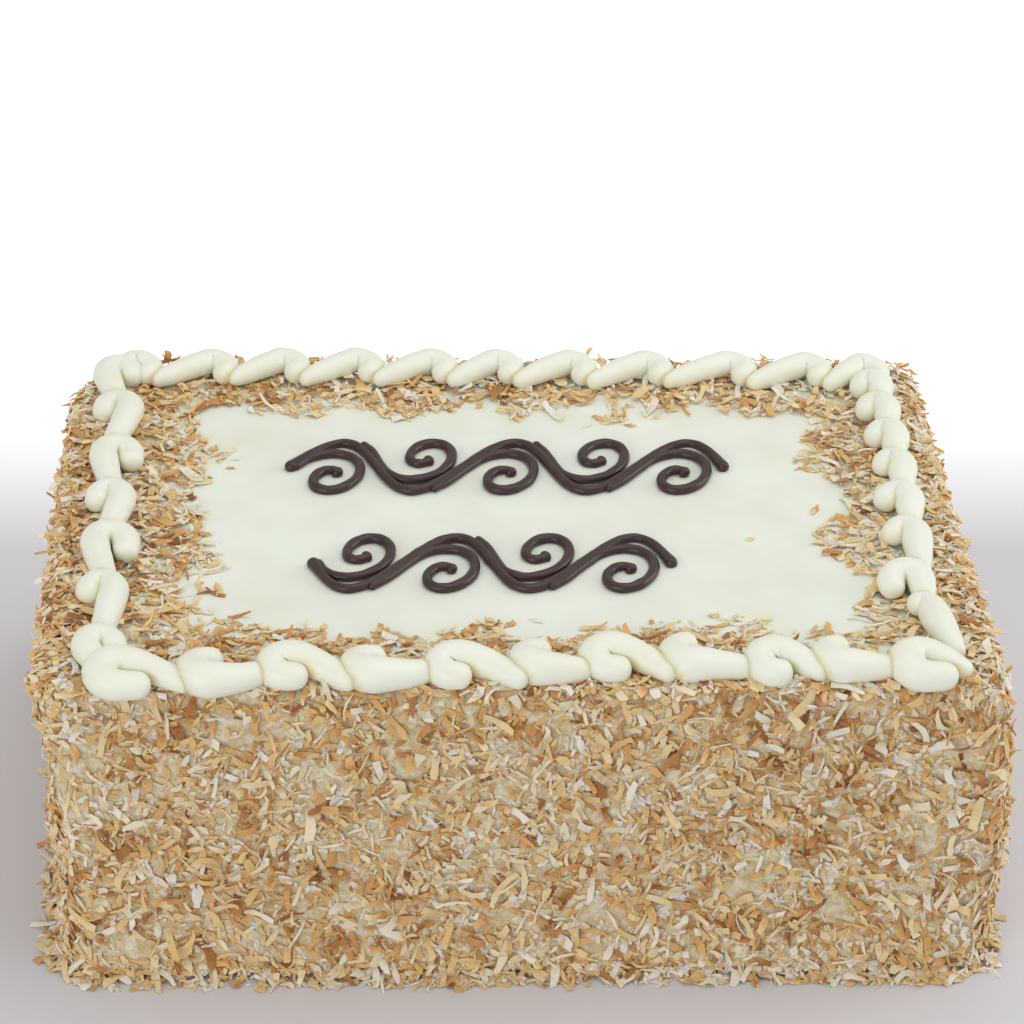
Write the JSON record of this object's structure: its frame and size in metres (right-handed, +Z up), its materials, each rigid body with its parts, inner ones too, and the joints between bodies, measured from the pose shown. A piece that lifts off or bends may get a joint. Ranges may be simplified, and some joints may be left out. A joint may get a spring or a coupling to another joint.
{
  "type": "italian cream sheet cake",
  "caption": "Tall rectangular cake under cream icing, its sides coated in toasted coconut, with a border of piped cream shells and chocolate scrollwork on top.",
  "frame": {"origin": "centre of the base, on the surface the cake stands on", "axes": "+X along the cake's longer side to the right, +Y from the front to the back, +Z up"},
  "size_m": [0.3493, 0.2467, 0.1282],
  "materials": {
    "toasted_coconut": "matt toasted coconut shreds",
    "cream_icing": "matt smoothed cream cheese icing",
    "piped_cream": "soft satin piped cream cheese icing",
    "chocolate": "satin dark chocolate icing"
  },
  "bodies": {
    "root": {"iced_cake": "toasted_coconut", "cream_border_front": "piped_cream", "cream_border_right": "piped_cream", "cream_border_back": "piped_cream", "cream_border_left": "piped_cream", "chocolate_scroll_back": "chocolate", "chocolate_scroll_front": "chocolate"}
  },
  "joints": []
}
